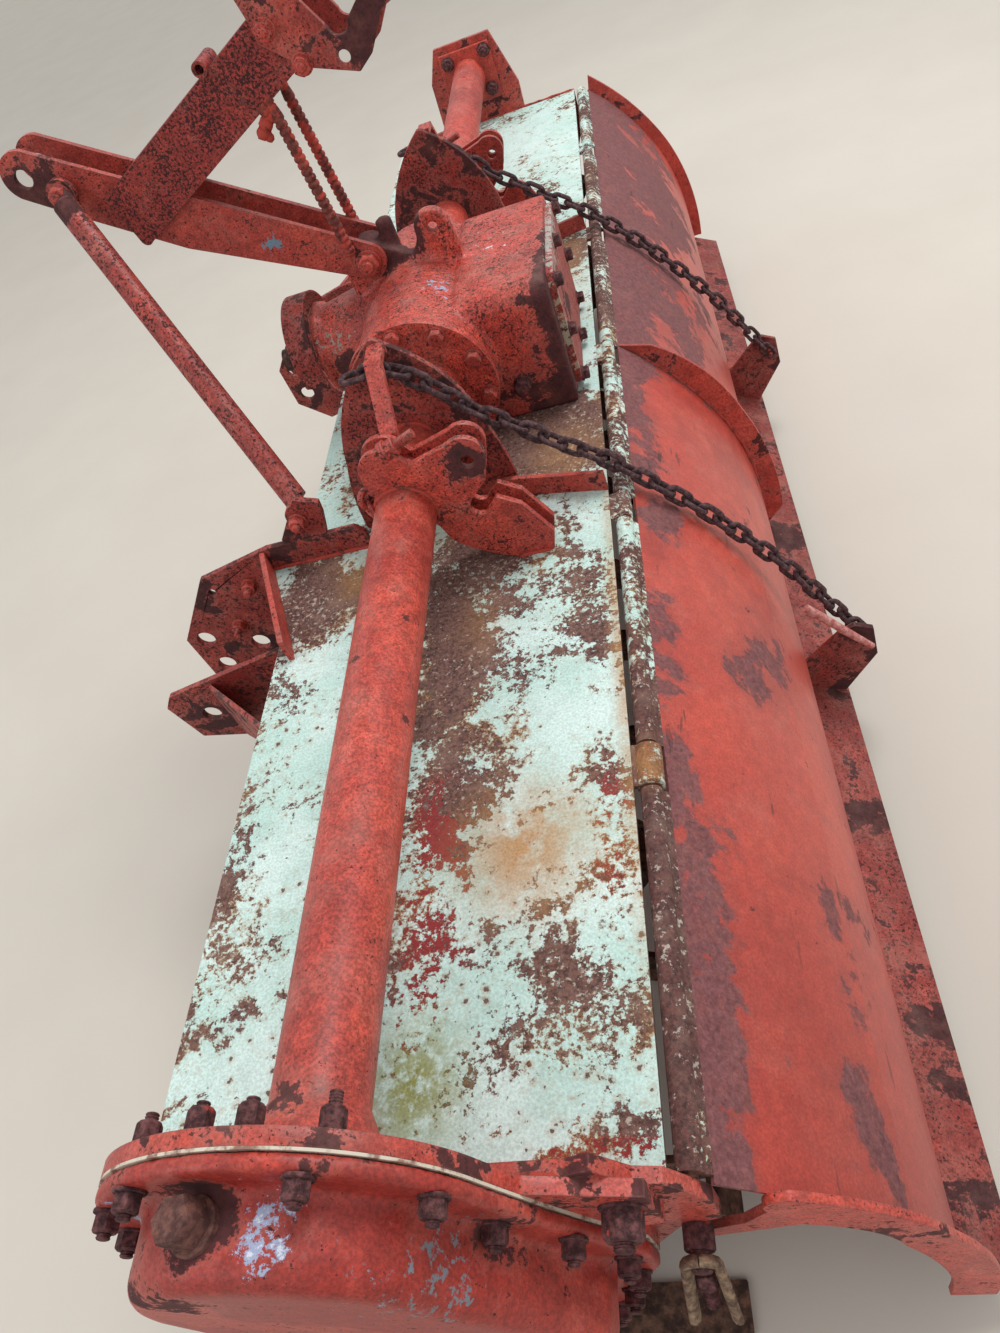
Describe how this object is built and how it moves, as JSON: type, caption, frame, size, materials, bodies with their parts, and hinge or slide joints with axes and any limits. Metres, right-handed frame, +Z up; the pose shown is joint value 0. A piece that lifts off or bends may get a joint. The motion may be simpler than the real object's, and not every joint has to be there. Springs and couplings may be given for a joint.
{
  "type": "rotary tiller",
  "caption": "Rear-mounted rotary tiller for a tractor: side-driven bladed rotor under a flat deck, hinged tailgate on chains, bevel gearbox, mast and lower hitch brackets.",
  "frame": {"origin": "middle of the front end of the input shaft", "axes": "+X forward to the tractor along the input shaft, +Y to the implement's left side where the drive case is, +Z up"},
  "size_m": [1.0557, 2.554, 1.16],
  "materials": {
    "red_paint": "faded, pitted and chipped red enamel over rust",
    "deck_paint": "flaking pale mint enamel over red undercoat and rust",
    "rusty_iron": "dark brown rust",
    "worn_steel": "soil-polished rusty steel",
    "bare_steel": "greased bare steel",
    "gasket": "dry sealing compound"
  },
  "bodies": {
    "root": {"arm": "red_paint", "bearing_left": "red_paint", "bearing_right": "red_paint", "brace_left": "rusty_iron", "brace_right": "rusty_iron", "case_gasket": "gasket", "chain_strap_left": "red_paint", "chain_strap_right": "red_paint", "deck": "deck_paint", "deck_hinge": "deck_paint", "deck_rib_left": "deck_paint", "deck_rib_right": "deck_paint", "drive_case": "red_paint", "fork_left": "red_paint", "fork_right": "red_paint", "front_apron": "red_paint", "front_beam": "red_paint", "gearbox": "red_paint", "gearbox_cover": "red_paint", "gearbox_flange": "red_paint", "hinge_rod": "rusty_iron", "hitch_inner_left": "red_paint", "hitch_inner_right": "red_paint", "hitch_outer_left": "red_paint", "hitch_outer_right": "red_paint", "hook_plate_left": "red_paint", "hook_plate_right": "red_paint", "lift_chain_left": "rusty_iron", "lift_chain_right": "rusty_iron", "mast_pin": "rusty_iron", "mast_plate_left": "red_paint", "mast_plate_right": "red_paint", "rail_left": "deck_paint", "rail_right": "deck_paint", "side_plate_left": "red_paint", "side_plate_right": "red_paint", "skid_left": "red_paint", "skid_right": "red_paint", "strut_foot_left": "red_paint", "strut_foot_right": "red_paint", "strut_left": "red_paint", "strut_right": "red_paint", "support_plate_left": "red_paint", "support_plate_right": "red_paint", "tube_left": "red_paint", "tube_right": "red_paint"},
    "rotor": {"rotor_blades": "worn_steel", "rotor_shaft": "worn_steel"},
    "pto": {"input_shaft": "bare_steel"},
    "tailgate": {"gate_hinge": "red_paint", "gate_lip": "red_paint", "gate_lug_left": "red_paint", "gate_lug_right": "red_paint", "gate_rib_left": "red_paint", "gate_rib_middle": "red_paint", "gate_rib_right": "red_paint", "gate_sheet": "red_paint"}
  },
  "joints": [
    {"name": "rotor_spin", "type": "hinge", "parent": "root", "child": "rotor", "pos_m": [-0.277, 0, -0.392], "axis": [0, 1, 0], "continuous": true},
    {"name": "pto_spin", "type": "hinge", "parent": "root", "child": "pto", "pos_m": [0, 0, 0], "axis": [1, 0, 0], "continuous": true},
    {"name": "tailgate_lift", "type": "hinge", "parent": "root", "child": "tailgate", "pos_m": [-0.512, 0, -0.114], "axis": [0, 1, 0], "range_deg": [0, 60], "deforming": ["lift_chain_left", "lift_chain_right"]}
  ],
  "couplings": [
    {"joint": "pto_spin", "follows": "rotor_spin", "ratio": 2.6}
  ]
}
